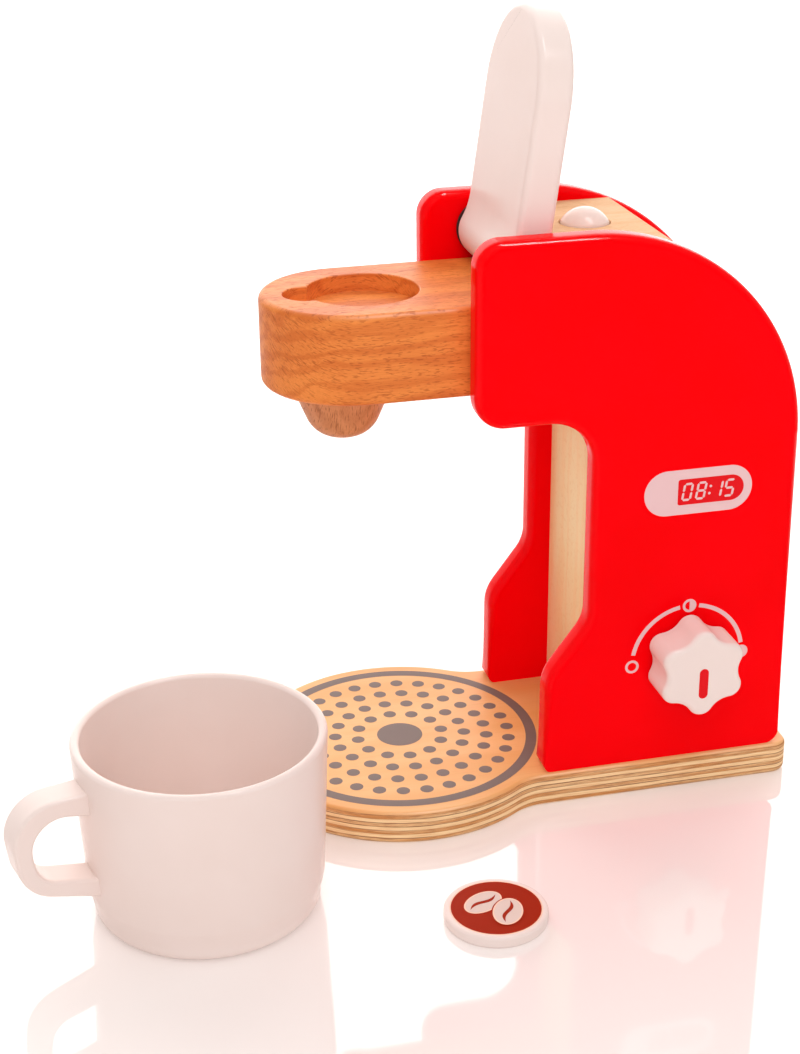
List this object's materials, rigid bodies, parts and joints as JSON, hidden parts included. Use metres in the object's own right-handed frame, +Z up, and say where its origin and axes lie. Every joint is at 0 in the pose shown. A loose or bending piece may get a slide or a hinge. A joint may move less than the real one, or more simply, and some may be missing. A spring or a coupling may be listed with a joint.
{
  "type": "toy coffee maker",
  "caption": "Wooden toy coffee maker with a folding lever, a push button, a turning knob, a pod recess, a loose cup and a loose pod.",
  "frame": {"origin": "on the floor, under the centre of the round drip plate", "axes": "+Z up; -Y to the front, the way the arm and the drip plate point; +X to the side with the knob"},
  "size_m": [0.1754, 0.2807, 0.2713],
  "materials": {
    "base_plywood": "satin",
    "red_lacquer": "satin lacquer",
    "pale_wood": "satin",
    "beech": "satin",
    "pale_beech": "satin",
    "dowel_beech": "plain",
    "white_lacquer": "satin lacquer",
    "washer_fibre": "matt",
    "screw_steel": "zinc plated",
    "spring_steel": "bright"
  },
  "bodies": {
    "machine": {"base_board": "base_plywood", "side_panel_left": "red_lacquer", "side_panel_right": "red_lacquer", "column_board": "pale_wood", "back_board": "pale_wood", "arm_block": "beech", "nozzle": "beech", "top_block": "pale_beech", "panel_dowels": "dowel_beech", "base_screws": "screw_steel", "button_spring": "spring_steel"},
    "lever": {"lever": "white_lacquer", "lever_axle": "dowel_beech", "lever_washers": "washer_fibre"},
    "button": {"button": "white_lacquer"},
    "knob": {"knob": "white_lacquer", "knob_shaft": "dowel_beech", "knob_retainer": "screw_steel", "knob_screw": "screw_steel"},
    "cup": {"cup_body": "white_lacquer", "cup_handle": "white_lacquer"},
    "pod": {"pod": "white_lacquer"}
  },
  "joints": [
    {"name": "lever_hinge", "type": "hinge", "parent": "machine", "child": "lever", "pos_m": [0, 0.0392, 0.1916], "axis": [1, 0, 0], "range_deg": [0, 98]},
    {"name": "button_press", "type": "slide", "parent": "machine", "child": "button", "axis": [0, 0, -1], "range_m": [0, 0.004], "stiffness_N_per_m": 400, "springref_m": -0.001, "deforming": ["button_spring"]},
    {"name": "knob_turn", "type": "hinge", "parent": "machine", "child": "knob", "pos_m": [0.0405, 0.09414, 0.052], "axis": [1, 0, 0], "continuous": true},
    {"name": "cup_lift", "type": "slide", "parent": "machine", "child": "cup", "axis": [0, 0, 1], "range_m": [0, 0.08]},
    {"name": "pod_lift", "type": "slide", "parent": "machine", "child": "pod", "axis": [0, 0, 1], "range_m": [0, 0.03]}
  ]
}
